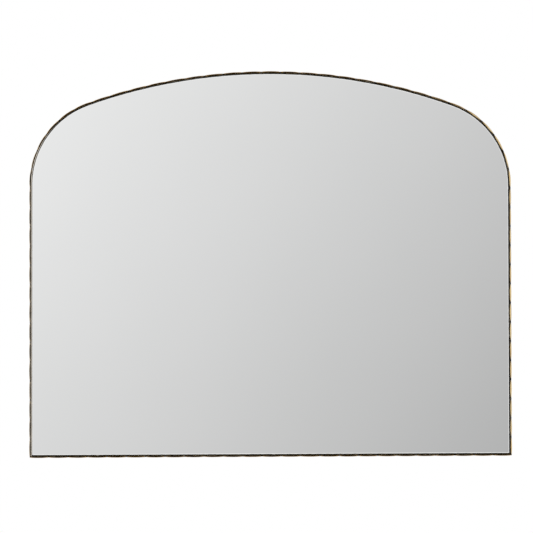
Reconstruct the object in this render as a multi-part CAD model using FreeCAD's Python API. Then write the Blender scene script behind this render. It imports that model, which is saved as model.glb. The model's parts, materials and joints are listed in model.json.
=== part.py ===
import FreeCAD, Part
import math
import os

# Arched wall mirror in millimetres: X across, Y towards the wall, Z up.
# The origin lies on the wall, midway between the two hooks that the hanger rings bear on.

# Outline over the high points of the rim
overall_width = 1000.0
overall_height = 800.0
shoulder_radius = 180.0
crown_radius = 1125.0
hook_drop = 200.0  # from the top of the arch down to the hooks

# Rim bar, bent on edge, with a row of hammer marks along its outer front edge and a plain inner slope
rim_thickness = 5.0
mark_pitch = 40.0
mark_width = 3.3  # across the middle of a mark, seen from the front
mark_end_width = 0.3
mark_depth = 3.8  # from the front edge back
mark_spread = 1.1  # metal pushed outwards by a blow
inner_slope = 1.2  # width and depth of the slope along the inner front edge

# Layers from the front edge of the rim back to the wall
glass_recess = 3.0
glass_thickness = 4.0
film_thickness = 0.2
tape_thickness = 1.0
board_thickness = 9.0
rear_recess = 7.8
bumper_proud = 1.5

# Glass, gasket and board edges
edge_gap = 0.8  # between the rim's inner wall and the glass
glass_bevel_width = 1.8
glass_bevel_depth = 0.3
gasket_clearance = 0.1
gasket_recess = 1.0  # gasket below the face of the glass
board_clearance = 0.5

# Foam tape strips
tape_count = 5
tape_width = 25.0
tape_side_inset = 120.0
tape_end_margin = 45.0

# Retaining tabs, placed along the arch bar and along the bottom bar
tab_width = 20.0
tab_reach = 14.0  # from the rim's inner wall to the screw
tab_thickness = 2.0
arch_tab_shares = (0.07, 0.2, 0.335, 0.5, 0.665, 0.8, 0.93)
bottom_tab_shares = (0.17, 0.5, 0.83)

# Pan head screws
screw_radius = 1.75
screw_tip_length = 2.0
screw_cover = 2.0  # board left in front of the tip
head_radius = 3.5
head_height = 2.2
head_rim_height = 0.9
recess_length = 4.0
recess_width = 0.9
recess_depth = 1.2
screw_hole_clearance = 0.25
pilot_clearance = 0.05
pilot_overrun = 0.5

# Hanger straps and rings
hanger_inset = 170.0  # from the side of the mirror to the middle of the strap
strap_width = 14.0
strap_sheet = 1.0
strap_fold_gap = 0.2
ring_wire_radius = 1.5
ring_corner_radius = 3.0
ring_leg_length = 6.5
ring_end_play = 1.5  # straight bar beyond each end of the knuckle
ring_running_clearance = 0.1
ring_rest_gap = 0.3
ring_screw_clearance = 4.0  # folded down ring to the screw heads above and below it

# Rubber bumpers
bumper_base_radius = 8.0
bumper_face_radius = 7.0
bumper_side_inset = 60.0
bumper_bottom_rise = 60.0
bumper_springing_drop = 30.0

cut_overrun = 5.0

vector = FreeCAD.Vector
across = vector(1, 0, 0)
rearward = vector(0, 1, 0)

# Arch: two shoulder arcs that run smoothly into one crown arc
half_width = overall_width / 2
top_z = hook_drop
bottom_z = top_z - overall_height
crown_centre_z = top_z - crown_radius
shoulder_centre_x = half_width - shoulder_radius
centre_distance = crown_radius - shoulder_radius
springing_z = crown_centre_z + math.sqrt(centre_distance**2 - shoulder_centre_x**2)
join_angle = math.acos(shoulder_centre_x / centre_distance)
side_length = springing_z - bottom_z
shoulder_length = shoulder_radius * join_angle
crown_length = crown_radius * (math.pi - 2 * join_angle)
arch_length = 2 * (side_length + shoulder_length) + crown_length

# Depths, from the wall forward
rim_back_y = -bumper_proud
board_back_y = rim_back_y - rear_recess
board_front_y = board_back_y - board_thickness
film_back_y = board_front_y - tape_thickness
glass_back_y = film_back_y - film_thickness
glass_front_y = glass_back_y - glass_thickness
rim_front_y = glass_front_y - glass_recess

glass_inset = rim_thickness + edge_gap
screw_bite = board_thickness - screw_cover
strap_thickness = 2 * strap_sheet + strap_fold_gap
knuckle_bore = ring_wire_radius + ring_running_clearance
knuckle_radius = knuckle_bore + strap_sheet
ring_side = strap_width / 2 + ring_end_play + ring_corner_radius
ring_length = ring_corner_radius + ring_leg_length + ring_side
ring_screw_distance = ring_wire_radius + ring_screw_clearance + head_radius
upper_screw_drop = ring_length - ring_screw_distance
lower_screw_drop = ring_length + ring_screw_distance
ring_lean = math.asin((knuckle_radius - ring_wire_radius - ring_rest_gap) / ring_length)
hinge_y = board_back_y + knuckle_radius
hinge_z = -(ring_length - ring_wire_radius) * math.cos(ring_lean)
hanger_places = {"left": -(half_width - hanger_inset), "right": half_width - hanger_inset}


# Outward direction, and point at an inset, at a distance along the arch from the lower left corner
def arch_station(distance, inset):
    on_right = distance > arch_length / 2
    run = arch_length - distance if on_right else distance
    if run < side_length:
        centre = vector(-shoulder_centre_x, 0, bottom_z + run)
        angle = 0
        radius = shoulder_radius
    elif run < side_length + shoulder_length:
        centre = vector(-shoulder_centre_x, 0, springing_z)
        angle = (run - side_length) / shoulder_radius
        radius = shoulder_radius
    else:
        centre = vector(0, 0, crown_centre_z)
        angle = join_angle + (run - side_length - shoulder_length) / crown_radius
        radius = crown_radius
    outward = vector(-math.cos(angle), 0, math.sin(angle))
    point = centre + outward * (radius - inset)
    if on_right:
        outward.x = -outward.x
        point.x = -point.x
    return outward, point


# The same along the bottom, from the lower right corner to the lower left
def bottom_station(distance, inset):
    return vector(0, 0, -1), vector(half_width - distance, 0, bottom_z + inset)


def corner(side, inset):
    return vector(side * (half_width - inset), 0, bottom_z + inset)


# Smooth outline of the mirror at an inset
def plain_wire(inset):
    quarter = side_length + shoulder_length / 2
    join = side_length + shoulder_length
    stations = (side_length, quarter, join, arch_length / 2)
    left = [arch_station(distance, inset)[1] for distance in stations]
    right = [vector(-point.x, 0, point.z) for point in left]
    edges = [
        Part.LineSegment(corner(-1, inset), left[0]),
        Part.Arc(left[0], left[1], left[2]),
        Part.Arc(left[2], left[3], right[2]),
        Part.Arc(right[2], right[1], right[0]),
        Part.LineSegment(right[0], corner(1, inset)),
        Part.LineSegment(corner(1, inset), corner(-1, inset)),
    ]
    return Part.Wire([edge.toShape() for edge in edges])


# Smooth curve from one end of a hammer mark, through its middle, to the other end
def mark_edge(start, middle, end):
    curve = Part.BezierCurve()
    curve.setPoles([start, middle * 2 - (start + end) / 2, end])
    return curve.toShape()


# Marks side by side along one bar, between its two mitred corners
def hammered_edges(station, length, middle_inset, end_inset, corners):
    count = max(1, round(length / mark_pitch))
    pitch = length / count
    ends = [station(pitch * number, end_inset)[1] for number in range(1, count)]
    ends = [corners[0], *ends, corners[1]]
    middles = [station(pitch * (number + 0.5), middle_inset)[1] for number in range(count)]
    return [mark_edge(*points) for points in zip(ends, middles, ends[1:])]


# Outline that swings between one inset at the middle of every mark and another at its ends
def hammered_wire(middle_inset, end_inset):
    left = corner(-1, end_inset)
    right = corner(1, end_inset)
    arch = hammered_edges(arch_station, arch_length, middle_inset, end_inset, (left, right))
    bottom = hammered_edges(bottom_station, overall_width, middle_inset, end_inset, (right, left))
    return Part.Wire(arch + bottom)


def at_depth(shape, depth):
    moved = shape.copy()
    moved.translate(rearward * depth)
    return moved


def plate(inset, front, back):
    face = Part.Face(at_depth(plain_wire(inset), front))
    return face.extrude(rearward * (back - front))


# Plate whose edge is straight from the back, then slopes in to a smaller front outline
def bevelled_plate(outline, front_outline, bevel_depth, front, back):
    wires = [
        at_depth(outline, back),
        at_depth(outline, front + bevel_depth),
        at_depth(front_outline, front),
    ]
    return Part.makeLoft(wires, True, True)


def rod(radius, start, end, x, z):
    return Part.makeCylinder(radius, end - start, vector(x, start, z), rearward)


# Wedge between the two mitres at the lower corners
def mitre_wedge():
    rise = 2 * rim_thickness
    points = [
        corner(-1, -cut_overrun),
        corner(1, -cut_overrun),
        corner(1, rise),
        corner(-1, rise),
        corner(-1, -cut_overrun),
    ]
    face = Part.Face(Part.makePolygon(points))
    depth = rim_back_y - rim_front_y + 2 * cut_overrun
    return at_depth(face, rim_front_y - cut_overrun).extrude(rearward * depth)


# Inside of the rim: straight from the back, then opening out along the slope at its front edge
def rim_opening():
    slope = inner_slope + cut_overrun
    wall = plain_wire(rim_thickness)
    mouth = plain_wire(rim_thickness - slope)
    return bevelled_plate(wall, mouth, slope, rim_front_y - cut_overrun, rim_back_y + cut_overrun)


def make_rim():
    outer = hammered_wire(0, mark_spread)
    front_edge = hammered_wire(mark_width, mark_spread + mark_end_width)
    bar = bevelled_plate(outer, front_edge, mark_depth, rim_front_y, rim_back_y)
    bar = bar.cut(rim_opening())
    wedge = mitre_wedge()
    return {"rim_arch": bar.cut(wedge), "rim_bottom": bar.common(wedge)}


def make_glass():
    edge = plain_wire(glass_inset)
    face = plain_wire(glass_inset + glass_bevel_width)
    return bevelled_plate(edge, face, glass_bevel_depth, glass_front_y, glass_back_y)


def make_gasket():
    front = glass_front_y + gasket_recess
    outer = plate(rim_thickness + gasket_clearance, front, board_front_y)
    inner = plate(glass_inset - gasket_clearance, front - cut_overrun, board_front_y + cut_overrun)
    return outer.cut(inner)


def make_tapes():
    span = overall_width - 2 * tape_side_inset
    step = span / (tape_count - 1)
    length = side_length - 2 * tape_end_margin
    tapes = {}
    for number in range(tape_count):
        x = number * step - span / 2
        start = vector(x - tape_width / 2, film_back_y, bottom_z + tape_end_margin)
        tapes[f"mounting_tape_{number + 1}"] = Part.makeBox(tape_width, tape_thickness, length, start)
    return tapes


# Outward direction and place of the screw for every retaining tab
def tab_stations():
    screw_inset = rim_thickness + tab_reach
    arch = [arch_station(arch_length * share, screw_inset) for share in arch_tab_shares]
    bottom = [bottom_station(overall_width * share, screw_inset) for share in bottom_tab_shares]
    return arch + bottom


# Flat tab with a round inner end, cut to the rim's inner wall where it is welded
def make_tab(outward, screw):
    back = board_back_y + tab_thickness
    sideways = outward.cross(rearward) * (tab_width / 2)
    root = screw + outward * (tab_reach + rim_thickness)
    points = [screw + sideways, root + sideways, root - sideways, screw - sideways, screw + sideways]
    leaf = at_depth(Part.Face(Part.makePolygon(points)), board_back_y)
    leaf = leaf.extrude(rearward * tab_thickness)
    leaf = leaf.fuse(rod(tab_width / 2, board_back_y, back, screw.x, screw.z)).removeSplitter()
    leaf = leaf.common(plate(rim_thickness, board_back_y, back))
    hole_radius = screw_radius + screw_hole_clearance
    return leaf.cut(rod(hole_radius, board_back_y - cut_overrun, back + cut_overrun, screw.x, screw.z))


# Cross recess sunk into the top of a screw head
def cross_recess():
    floor = head_height - recess_depth
    depth = recess_depth + cut_overrun
    wide = vector(-recess_length / 2, floor, -recess_width / 2)
    tall = vector(-recess_width / 2, floor, -recess_length / 2)
    wide_slot = Part.makeBox(recess_length, depth, recess_width, wide)
    return wide_slot.fuse(Part.makeBox(recess_width, depth, recess_length, tall))


# Screw that clamps a given thickness to the back of the board
def make_screw(clamped, x, z):
    dome_rise = head_height - head_rim_height
    dome_radius = (head_radius**2 + dome_rise**2) / (2 * dome_rise)
    half_angle = math.asin(head_radius / dome_radius) / 2
    dome_x = dome_radius * math.sin(half_angle)
    dome_y = head_height - dome_radius * (1 - math.cos(half_angle))
    length = clamped + screw_bite
    tip = vector(0, -length, 0)
    head_edge = vector(head_radius, head_rim_height, 0)
    head_top = vector(0, head_height, 0)
    stem = [
        tip,
        vector(screw_radius, screw_tip_length - length, 0),
        vector(screw_radius, 0, 0),
        vector(head_radius, 0, 0),
        head_edge,
    ]
    edges = [Part.LineSegment(*ends).toShape() for ends in zip(stem, stem[1:])]
    edges.append(Part.Arc(head_edge, vector(dome_x, dome_y, 0), head_top).toShape())
    edges.append(Part.LineSegment(head_top, tip).toShape())
    screw = Part.Face(Part.Wire(edges)).revolve(vector(0, 0, 0), rearward, 360)
    screw = screw.cut(cross_recess())
    screw.translate(vector(x, board_back_y + clamped, z))
    return screw


def hanger_screw_places():
    drops = (upper_screw_drop, lower_screw_drop)
    return [(x, hinge_z - drop) for x in hanger_places.values() for drop in drops]


def make_board():
    board = plate(rim_thickness + board_clearance, board_front_y, board_back_y)
    floor = board_back_y - screw_bite - pilot_overrun
    places = [(screw.x, screw.z) for _, screw in tab_stations()] + hanger_screw_places()
    radius = screw_radius + pilot_clearance
    pilots = [rod(radius, floor, board_back_y + cut_overrun, x, z) for x, z in places]
    return board.cut(Part.makeCompound(pilots))


# Sheet strip folded round the ring: two flat layers below a knuckle
def make_strap(x):
    layer_length = lower_screw_drop
    layers = []
    for height in (0, strap_sheet + strap_fold_gap):
        front = board_back_y + height
        low = vector(x - strap_width / 2, front, hinge_z - layer_length)
        leaf = Part.makeBox(strap_width, strap_sheet, layer_length, low)
        end = rod(strap_width / 2, front, front + strap_sheet, x, hinge_z - layer_length)
        layers.append(leaf.fuse(end))
    start = vector(x - strap_width / 2, hinge_y, hinge_z)
    knuckle = Part.makeCylinder(knuckle_radius, strap_width, start, across)
    bore_length = strap_width + 2 * cut_overrun
    bore = Part.makeCylinder(knuckle_bore, bore_length, start - across * cut_overrun, across)
    strap = knuckle.fuse(layers).removeSplitter().cut(bore)
    hole_radius = screw_radius + screw_hole_clearance
    front = board_back_y - cut_overrun
    back = board_back_y + strap_thickness + cut_overrun
    for drop in (upper_screw_drop, lower_screw_drop):
        strap = strap.cut(rod(hole_radius, front, back, x, hinge_z - drop))
    return strap


# D ring of round wire: a straight bar in the knuckle, two legs and a round top
def make_ring(x):
    side = ring_side
    bend = ring_corner_radius
    bow_z = bend + ring_leg_length
    bend_middle = bend * (1 - math.sqrt(0.5))
    path = [
        Part.LineSegment(vector(0, 0, 0), vector(side - bend, 0, 0)),
        Part.Arc(
            vector(side - bend, 0, 0),
            vector(side - bend_middle, 0, bend_middle),
            vector(side, 0, bend),
        ),
        Part.LineSegment(vector(side, 0, bend), vector(side, 0, bow_z)),
        Part.Arc(vector(side, 0, bow_z), vector(0, 0, ring_length), vector(-side, 0, bow_z)),
        Part.LineSegment(vector(-side, 0, bow_z), vector(-side, 0, bend)),
        Part.Arc(
            vector(-side, 0, bend),
            vector(bend_middle - side, 0, bend_middle),
            vector(bend - side, 0, 0),
        ),
        Part.LineSegment(vector(bend - side, 0, 0), vector(0, 0, 0)),
    ]
    wire = Part.Wire([piece.toShape() for piece in path])
    section = Part.Wire(Part.makeCircle(ring_wire_radius, vector(0, 0, 0), across))
    ring = wire.makePipeShell([section], True, False)
    ring.rotate(vector(0, 0, 0), across, math.degrees(ring_lean))
    ring.translate(vector(x, hinge_y, hinge_z))
    return ring


def make_bumpers():
    x = half_width - bumper_side_inset
    low = bottom_z + bumper_bottom_rise
    high = springing_z - bumper_springing_drop
    places = [(-x, low), (x, low), (-x, high), (x, high)]
    height = -board_back_y
    bumpers = {}
    for number, (place_x, place_z) in enumerate(places, 1):
        foot = vector(place_x, board_back_y, place_z)
        bumper = Part.makeCone(bumper_base_radius, bumper_face_radius, height, foot, rearward)
        bumpers[f"wall_bumper_{number}"] = bumper
    return bumpers


nodes = make_rim()
nodes["mirror_glass"] = make_glass()
nodes["safety_film"] = plate(glass_inset, glass_back_y, film_back_y)
nodes["edge_gasket"] = make_gasket()
nodes["backing_board"] = make_board()
nodes.update(make_tapes())
nodes.update(make_bumpers())

retaining_screws = []
for number, (outward, screw) in enumerate(tab_stations(), 1):
    nodes[f"retaining_tab_{number}"] = make_tab(outward, screw)
    retaining_screws.append(make_screw(tab_thickness, screw.x, screw.z))
nodes["retaining_screws"] = Part.makeCompound(retaining_screws)

for side, x in hanger_places.items():
    nodes[f"hanger_strap_{side}"] = make_strap(x)
    nodes[f"hanger_ring_{side}"] = make_ring(x)
hanger_screws = [make_screw(strap_thickness, x, z) for x, z in hanger_screw_places()]
nodes["hanger_screws"] = Part.makeCompound(hanger_screws)

os.makedirs("parts", exist_ok=True)
for name, shape in nodes.items():
    shape.exportStep(f"parts/{name}.step")
    print(name, len(shape.Solids), shape.isValid(), round(shape.Volume, 1))
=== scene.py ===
import json
from math import acos, asin, atan2, cos, hypot, pi, radians, sin, sqrt

import bmesh
import bpy
from mathutils import Matrix, Vector


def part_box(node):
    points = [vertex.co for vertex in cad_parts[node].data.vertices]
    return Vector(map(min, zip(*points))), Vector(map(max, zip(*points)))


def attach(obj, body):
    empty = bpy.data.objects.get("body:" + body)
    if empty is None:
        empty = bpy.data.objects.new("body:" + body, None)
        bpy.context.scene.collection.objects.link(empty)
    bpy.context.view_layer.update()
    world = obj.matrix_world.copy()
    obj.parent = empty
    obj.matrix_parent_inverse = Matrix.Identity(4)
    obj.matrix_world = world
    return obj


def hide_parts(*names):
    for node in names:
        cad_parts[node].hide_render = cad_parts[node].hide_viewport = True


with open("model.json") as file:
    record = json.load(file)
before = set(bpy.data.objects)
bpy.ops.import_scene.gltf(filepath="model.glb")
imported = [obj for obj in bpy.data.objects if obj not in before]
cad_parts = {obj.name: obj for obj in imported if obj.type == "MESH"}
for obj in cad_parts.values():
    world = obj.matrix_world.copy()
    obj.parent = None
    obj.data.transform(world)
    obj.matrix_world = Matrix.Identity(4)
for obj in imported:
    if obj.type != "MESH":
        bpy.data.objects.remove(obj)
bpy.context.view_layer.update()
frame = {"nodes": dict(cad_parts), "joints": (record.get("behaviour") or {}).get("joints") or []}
print("frame loaded:", len(frame["nodes"]), "pieces")


# Small helpers for meshes

roundMiddle = 0.3  # how far in from both faces the middle of a small rounding lies, as a share of it


def addObject(name, mesh):
    piece = bpy.data.objects.new(name, mesh)
    bpy.context.scene.collection.objects.link(piece)
    return piece


def softenMesh(mesh, sharpDegrees):
    mesh.shade_smooth()
    mesh.set_sharp_from_angle(angle=radians(sharpDegrees))


def closeMesh(name, bm, sharpDegrees=35):
    bmesh.ops.remove_doubles(bm, verts=bm.verts[:], dist=1e-6)
    bmesh.ops.recalc_face_normals(bm, faces=bm.faces[:])
    mesh = bpy.data.meshes.new(name)
    bm.to_mesh(mesh)
    bm.free()
    softenMesh(mesh, sharpDegrees)
    return mesh


def applyModifiers(piece):
    bpy.context.view_layer.update()
    graph = bpy.context.evaluated_depsgraph_get()
    shaped = piece.evaluated_get(graph)
    mesh = bpy.data.meshes.new_from_object(shaped, preserve_all_data_layers=True, depsgraph=graph)
    piece.modifiers.clear()
    piece.data = mesh


def sweepAngles(degrees, steps, start=0):
    return [radians(start + degrees * step / steps) for step in range(steps + 1)]


def loftMesh(name, lines, ends="open", sharpDegrees=35):  # the ends of the loft are open, capped or joined
    bm = bmesh.new()
    rings = [[bm.verts.new(point) for point in line] for line in lines]
    if ends == "joined":
        rings.append(rings[0])
    for first, second in zip(rings, rings[1:]):
        for step in range(len(first)):
            after = (step + 1) % len(first)
            bm.faces.new((first[step], first[after], second[after], second[step]))
    if ends == "capped":
        bm.faces.new(rings[0])
        bm.faces.new(rings[-1])
    return closeMesh(name, bm, sharpDegrees)


def closedLine(name, points):
    mesh = bpy.data.meshes.new(name)
    count = len(points)
    mesh.from_pydata(points, [(step, (step + 1) % count) for step in range(count)], [])
    return mesh


def setAttribute(mesh, name, values, kind="FLOAT"):
    attribute = mesh.attributes.new(name, kind, "POINT")
    isVector = kind == "FLOAT_VECTOR"
    flat = [number for value in values for number in value] if isVector else values
    attribute.data.foreach_set("vector" if isVector else "value", flat)


def dropAttributes(mesh, *names):
    for name in names:
        if name in mesh.attributes:
            mesh.attributes.remove(mesh.attributes[name])


def finishPiece(piece, body, slotName, *nodes):
    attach(piece, body)
    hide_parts(*nodes)


# Small helpers for node trees

def setInputs(tree, node, inputs):
    for key, value in inputs.items():
        if isinstance(value, bpy.types.NodeSocket):
            tree.links.new(value, node.inputs[key])
        else:
            node.inputs[key].default_value = value


def addNode(tree, kind, inputs=None, **settings):
    node = tree.nodes.new(kind)
    for key, value in settings.items():
        setattr(node, key, value)
    setInputs(tree, node, inputs or {})
    return node


def output(tree, kind, inputs=None, **settings):
    return addNode(tree, kind, inputs, **settings).outputs[0]


def calc(tree, operation, *values):
    return output(tree, "ShaderNodeMath", dict(enumerate(values)), operation=operation)


def times(tree, first, second):
    return calc(tree, "MULTIPLY", first, second)


def plus(tree, first, second):
    return calc(tree, "ADD", first, second)


def minus(tree, first, second):
    return calc(tree, "SUBTRACT", first, second)


def calcVector(tree, operation, *values):
    return output(tree, "ShaderNodeVectorMath", dict(enumerate(values)), operation=operation)


def scaleVector(tree, vector, factor):
    sockets = {0: vector, "Scale": factor}
    return output(tree, "ShaderNodeVectorMath", sockets, operation="SCALE")


def combine(tree, **parts):
    return output(tree, "ShaderNodeCombineXYZ", parts)


def turnAboutY(tree, angle):
    return output(tree, "FunctionNodeEulerToRotation", {0: combine(tree, Y=angle)})


def mix(tree, factor, first, second):
    return output(tree, "ShaderNodeMix", {0: factor, 2: first, 3: second})


socketKinds = {float: "Float", int: "Int", bpy.types.Object: "Object", bpy.types.Material: "Material"}


def startTree(name, values):  # one named input for each value
    tree = bpy.data.node_groups.new(name, "GeometryNodeTree")
    tree.is_modifier = True
    tree.interface.new_socket("Geometry", in_out="INPUT", socket_type="NodeSocketGeometry")
    tree.interface.new_socket("Geometry", in_out="OUTPUT", socket_type="NodeSocketGeometry")
    for socketName, value in values.items():
        kind = "NodeSocket" + socketKinds[type(value)]
        tree.interface.new_socket(socketName, in_out="INPUT", socket_type=kind)
    return tree, tree.nodes.new("NodeGroupInput").outputs


def endTree(tree, geometry, finish):
    realized = output(tree, "GeometryNodeRealizeInstances", {"Geometry": geometry})
    painted = output(tree, "GeometryNodeSetMaterial", {"Geometry": realized, "Material": finish})
    addNode(tree, "NodeGroupOutput", {"Geometry": painted})


def readAttribute(tree, name, kind="FLOAT"):
    return output(tree, "GeometryNodeInputNamedAttribute", {"Name": name}, data_type=kind)


def storeAttribute(tree, geometry, name, value, kind="FLOAT"):
    sockets = {"Geometry": geometry, "Name": name, "Value": value}
    return output(tree, "GeometryNodeStoreNamedAttribute", sockets, data_type=kind)


def randomValue(tree, low, high, number, seed):
    sockets = {2: low, 3: high, 7: number, 8: seed}
    return addNode(tree, "FunctionNodeRandomValue", sockets, data_type="FLOAT").outputs[1]


def runTree(piece, tree, values):
    modifier = piece.modifiers.new("shape", "NODES")
    modifier.node_group = tree
    for item in tree.interface.items_tree:
        if item.in_out == "INPUT" and item.name in values:
            modifier[item.identifier] = values[item.name]
    applyModifiers(piece)


# Small helpers for finishes

noiseRange = (0.3, 0.7)  # nearly all of a noise's values lie in it


def startFinish(name):
    material = bpy.data.materials.new(name)
    material.use_nodes = True
    return material, material.node_tree


def objectPlace(tree, stretch=(1, 1, 1)):
    place = addNode(tree, "ShaderNodeTexCoord").outputs["Object"]
    return output(tree, "ShaderNodeMapping", {"Vector": place, "Scale": stretch})


def noise(tree, place, scale, detail=3.0, roughness=0.55):
    sockets = {"Vector": place, "Scale": scale, "Detail": detail, "Roughness": roughness}
    return addNode(tree, "ShaderNodeTexNoise", sockets).outputs["Fac"]


def ramp(tree, factor, *stops):
    node = addNode(tree, "ShaderNodeValToRGB", {"Fac": factor})
    elements = node.color_ramp.elements
    while len(elements) < len(stops):
        elements.new(0.5)
    for element, (position, color) in zip(elements, stops):
        element.position = position
        element.color = (*color, 1.0)
    return node.outputs["Color"]


def mapRange(tree, value, fromLow, fromHigh, toLow, toHigh, smooth=False):
    sockets = {"Value": value, 1: fromLow, 2: fromHigh, 3: toLow, 4: toHigh}
    kind = "SMOOTHSTEP" if smooth else "LINEAR"
    return output(tree, "ShaderNodeMapRange", sockets, interpolation_type=kind)


def mapNoise(tree, value, low, high):
    return mapRange(tree, value, *noiseRange, low, high)


def mixColor(tree, factor, first, second, blend="MIX"):
    sockets = {0: factor, 6: first, 7: second}
    return addNode(tree, "ShaderNodeMix", sockets, data_type="RGBA", blend_type=blend).outputs[2]


def bump(tree, height, strength, distance):
    return output(tree, "ShaderNodeBump", {"Height": height, "Strength": strength, "Distance": distance})


def plug(material, color, roughness, **others):
    values = {"Base Color": color, "Roughness": roughness}
    values.update({name.capitalize(): value for name, value in others.items()})
    tree = material.node_tree
    setInputs(tree, tree.nodes["Principled BSDF"], values)
    return material


# Finishes

def agedGold():
    material, tree = startFinish("agedGold")
    place = objectPlace(tree)
    rub = addNode(tree, "ShaderNodeAttribute", attribute_name="rub").outputs["Fac"]
    patches = noise(tree, place, 55, 5, 0.6)
    specks = noise(tree, place, 420, 3)
    worn = plus(tree, rub, mapNoise(tree, patches, -0.22, 0.22))
    worn = plus(tree, worn, mapNoise(tree, specks, -0.12, 0.12))
    gold = mapRange(tree, worn, 0.3, 0.62, 0, 1, smooth=True)
    goldTone = ramp(
        tree, patches, (0.3, (0.44, 0.30, 0.13)), (0.55, (0.56, 0.42, 0.21)), (0.75, (0.68, 0.54, 0.32))
    )
    bronzeTone = ramp(tree, specks, (0.3, (0.006, 0.004, 0.002)), (0.7, (0.020, 0.013, 0.006)))
    bare = mapRange(tree, worn, 1.2, 1.6, 0, 1)  # the inner edge is rubbed down to the steel
    bareTone = ramp(tree, patches, (0.3, (0.50, 0.46, 0.41)), (0.7, (0.62, 0.58, 0.53)))
    grain = mapNoise(tree, specks, -0.05, 0.07)
    return plug(
        material,
        metallic=1.0,
        color=mixColor(tree, bare, mixColor(tree, gold, bronzeTone, goldTone), bareTone),
        roughness=plus(tree, mapRange(tree, gold, 0, 1, 0.45, 0.2), grain),
        normal=bump(tree, plus(tree, specks, patches), 0.35, 0.0003),
    )


def silveredMirror(name, least, most):
    material, tree = startFinish(name)
    haze = noise(tree, objectPlace(tree), 2.5, 2)
    wipe = noise(tree, objectPlace(tree, (1, 1, 0.15)), 45, 3)
    return plug(
        material,
        metallic=1.0,
        color=ramp(tree, haze, (0.3, (0.915, 0.922, 0.920)), (0.7, (0.930, 0.935, 0.934))),
        roughness=mapRange(tree, wipe, 0.35, 0.7, least, most),
    )


def groundGlass():
    material, tree = startFinish("groundGlass")
    grind = noise(tree, objectPlace(tree), 900, 2)
    tree.nodes["Principled BSDF"].inputs["IOR"].default_value = 1.52
    return plug(
        material,
        color=ramp(tree, grind, (0.3, (0.70, 0.77, 0.75)), (0.7, (0.84, 0.88, 0.87))),
        roughness=mapNoise(tree, grind, 0.08, 0.2),
    )


def mottledCoat(name, mottle, grain, tones, roughness, relief):
    material, tree = startFinish(name)
    clouds = noise(tree, objectPlace(tree), *mottle)
    height = noise(tree, objectPlace(tree), *grain)
    return plug(
        material,
        color=ramp(tree, clouds, *tones),
        roughness=mapNoise(tree, clouds, *roughness),
        normal=bump(tree, height, *relief),
    )


def gasketRubber():
    tones = (0.3, (0.010, 0.009, 0.008)), (0.7, (0.022, 0.020, 0.018))
    return mottledCoat("gasketRubber", (700, 3), (700, 3), tones, (0.6, 0.8), (0.2, 0.0001))


def bronzePaint():
    tones = (0.3, (0.020, 0.015, 0.010)), (0.7, (0.046, 0.035, 0.023))
    return mottledCoat("bronzePaint", (40, 4), (380, 2), tones, (0.38, 0.55), (0.3, 0.0002))


def bumperRubber():
    tones = (0.3, (0.014, 0.014, 0.014)), (0.75, (0.038, 0.037, 0.036))
    return mottledCoat("bumperRubber", (150, 4), (1100, 2), tones, (0.55, 0.78), (0.25, 0.0001))


def rawFibreboard():
    material, tree = startFinish("rawFibreboard")
    fibres = noise(tree, objectPlace(tree, (1, 1, 0.35)), 900, 4, 0.7)
    clouds = noise(tree, objectPlace(tree), 9, 4)
    chips = noise(tree, objectPlace(tree), 260, 2)
    tone = ramp(
        tree, fibres, (0.25, (0.315, 0.205, 0.115)), (0.5, (0.44, 0.305, 0.18)), (0.8, (0.56, 0.415, 0.265))
    )
    cloudTone = ramp(tree, clouds, (0.3, (0.86, 0.84, 0.82)), (0.7, (1.0, 1.0, 1.0)))
    chipTone = ramp(tree, chips, (0.28, (0.70, 0.66, 0.60)), (0.40, (1.0, 1.0, 1.0)))
    tone = mixColor(tree, 1.0, tone, cloudTone, "MULTIPLY")
    return plug(
        material,
        color=mixColor(tree, 0.7, tone, chipTone, "MULTIPLY"),
        roughness=mapNoise(tree, fibres, 0.72, 0.88),
        normal=bump(tree, fibres, 0.25, 0.0002),
    )


def platedSteel(name, dark, bright, roughness, stretch=(1, 1, 1)):
    material, tree = startFinish(name)
    brush = noise(tree, objectPlace(tree, stretch), 600, 4, 0.65)
    bloom = noise(tree, objectPlace(tree), 120, 3)
    return plug(
        material,
        metallic=1.0,
        color=ramp(tree, bloom, (0.3, dark), (0.7, bright)),
        roughness=mapNoise(tree, brush, *roughness),
        normal=bump(tree, brush, 0.08, 0.0001),
    )


def foamTape():
    material, tree = startFinish("foamTape")
    sockets = {"Vector": objectPlace(tree), "Scale": 1500}
    cells = addNode(tree, "ShaderNodeTexVoronoi", sockets).outputs["Distance"]
    return plug(
        material,
        color=ramp(tree, cells, (0.0, (0.86, 0.86, 0.84)), (0.7, (0.66, 0.66, 0.64))),
        roughness=mapRange(tree, cells, 0.0, 0.7, 0.8, 0.95),
        normal=bump(tree, cells, 0.4, 0.0003),
    )


def wovenFilm():
    material, tree = startFinish("wovenFilm")
    sockets = {"Vector": objectPlace(tree), "Scale": 160}
    threads = [addNode(tree, "ShaderNodeTexWave", sockets, bands_direction=axis) for axis in "XZ"]
    weave = times(tree, *[thread.outputs["Fac"] for thread in threads])
    return plug(
        material,
        color=ramp(tree, weave, (0.0, (0.50, 0.51, 0.52)), (1.0, (0.70, 0.71, 0.72))),
        roughness=mapRange(tree, weave, 0, 1, 0.42, 0.6),
        normal=bump(tree, weave, 0.3, 0.0002),
    )


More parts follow.
